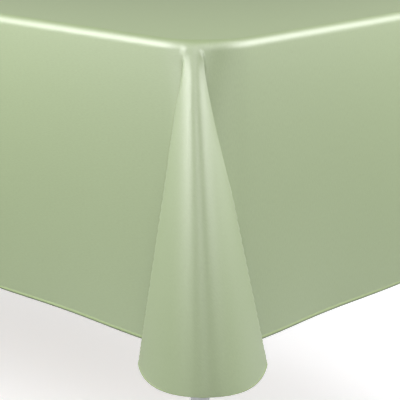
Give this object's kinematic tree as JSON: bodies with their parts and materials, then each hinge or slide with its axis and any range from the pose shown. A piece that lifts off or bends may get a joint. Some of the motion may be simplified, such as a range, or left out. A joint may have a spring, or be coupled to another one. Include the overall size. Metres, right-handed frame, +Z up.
{
  "type": "draped folding table",
  "caption": "Rectangular folding banquet table dressed with a satin cloth that hangs half way down and stands out in one soft fold at each corner.",
  "frame": {"origin": "on the floor under the middle of the table, centre of the bounding box's base", "axes": "+X along the long side, +Y across the table, +Z up"},
  "size_m": [2.0174, 0.9504, 0.7516],
  "materials": {
    "cloth_satin": "sage green polyester satin, soft sheen",
    "plywood": "clear-lacquered birch plywood",
    "edge_vinyl": "moulded bullnose strip, semi-matt",
    "rail_pine": "planed, unfinished",
    "leg_steel": "light grey powder coat",
    "zinc_steel": "zinc plated, pressed",
    "cap_plastic": "moulded black"
  },
  "bodies": {
    "table": {"brace_bracket_left": "zinc_steel", "brace_bracket_right": "zinc_steel", "brace_screw_inner_left": "zinc_steel", "brace_screw_inner_right": "zinc_steel", "brace_screw_outer_left": "zinc_steel", "brace_screw_outer_right": "zinc_steel", "brace_top_pin_left": "zinc_steel", "brace_top_pin_right": "zinc_steel", "edge_band": "edge_vinyl", "end_rail_left": "rail_pine", "end_rail_right": "rail_pine", "hinge_bracket_back_left": "zinc_steel", "hinge_bracket_back_right": "zinc_steel", "hinge_bracket_front_left": "zinc_steel", "hinge_bracket_front_right": "zinc_steel", "hinge_screw_inner_back_left": "zinc_steel", "hinge_screw_inner_back_right": "zinc_steel", "hinge_screw_inner_front_left": "zinc_steel", "hinge_screw_inner_front_right": "zinc_steel", "hinge_screw_outer_back_left": "zinc_steel", "hinge_screw_outer_back_right": "zinc_steel", "hinge_screw_outer_front_left": "zinc_steel", "hinge_screw_outer_front_right": "zinc_steel", "side_rail_back": "rail_pine", "side_rail_front": "rail_pine", "table_top": "plywood"},
    "cloth": {"tablecloth": "cloth_satin"},
    "leg_frame_left": {"brace_clip_left": "zinc_steel", "brace_leg_pin_left": "zinc_steel", "foot_cap_back_left": "cap_plastic", "foot_cap_front_left": "cap_plastic", "leg_cross_tube_left": "leg_steel", "leg_pivot_tube_left": "leg_steel", "leg_tube_back_left": "leg_steel", "leg_tube_front_left": "leg_steel"},
    "brace_upper_left": {"brace_upper_arm_left": "zinc_steel"},
    "brace_lower_left": {"brace_lower_arm_left": "zinc_steel", "brace_elbow_pin_left": "zinc_steel"},
    "leg_frame_right": {"brace_clip_right": "zinc_steel", "brace_leg_pin_right": "zinc_steel", "foot_cap_back_right": "cap_plastic", "foot_cap_front_right": "cap_plastic", "leg_cross_tube_right": "leg_steel", "leg_pivot_tube_right": "leg_steel", "leg_tube_back_right": "leg_steel", "leg_tube_front_right": "leg_steel"},
    "brace_upper_right": {"brace_upper_arm_right": "zinc_steel"},
    "brace_lower_right": {"brace_lower_arm_right": "zinc_steel", "brace_elbow_pin_right": "zinc_steel"}
  },
  "joints": [
    {"name": "cloth_lift", "type": "slide", "parent": "table", "child": "cloth", "axis": [0, 0, 1], "range_m": [0, 0.76]},
    {"name": "leg_fold_left", "type": "hinge", "parent": "table", "child": "leg_frame_left", "pos_m": [-0.8145, 0, 0.703], "axis": [0, -1, 0], "range_deg": [0, 90]},
    {"name": "brace_upper_left", "type": "hinge", "parent": "table", "child": "brace_upper_left", "pos_m": [-0.5045, 0, 0.72], "axis": [0, 1, 0], "range_deg": [0, 45.49]},
    {"name": "brace_lower_left", "type": "hinge", "parent": "leg_frame_left", "child": "brace_lower_left", "pos_m": [-0.7975, 0, 0.423], "axis": [0, -1, 0], "range_deg": [0, 44.71]},
    {"name": "leg_fold_right", "type": "hinge", "parent": "table", "child": "leg_frame_right", "pos_m": [0.8145, 0, 0.703], "axis": [0, 1, 0], "range_deg": [0, 90]},
    {"name": "brace_upper_right", "type": "hinge", "parent": "table", "child": "brace_upper_right", "pos_m": [0.5045, 0, 0.72], "axis": [0, -1, 0], "range_deg": [0, 45.49]},
    {"name": "brace_lower_right", "type": "hinge", "parent": "leg_frame_right", "child": "brace_lower_right", "pos_m": [0.7975, 0, 0.423], "axis": [0, 1, 0], "range_deg": [0, 44.71]}
  ],
  "couplings": [
    {"joint": "brace_upper_left", "follows": "leg_fold_left", "ratio": 0.50432},
    {"joint": "brace_lower_left", "follows": "leg_fold_left", "ratio": 0.49568},
    {"joint": "brace_upper_right", "follows": "leg_fold_right", "ratio": 0.50432},
    {"joint": "brace_lower_right", "follows": "leg_fold_right", "ratio": 0.49568}
  ]
}
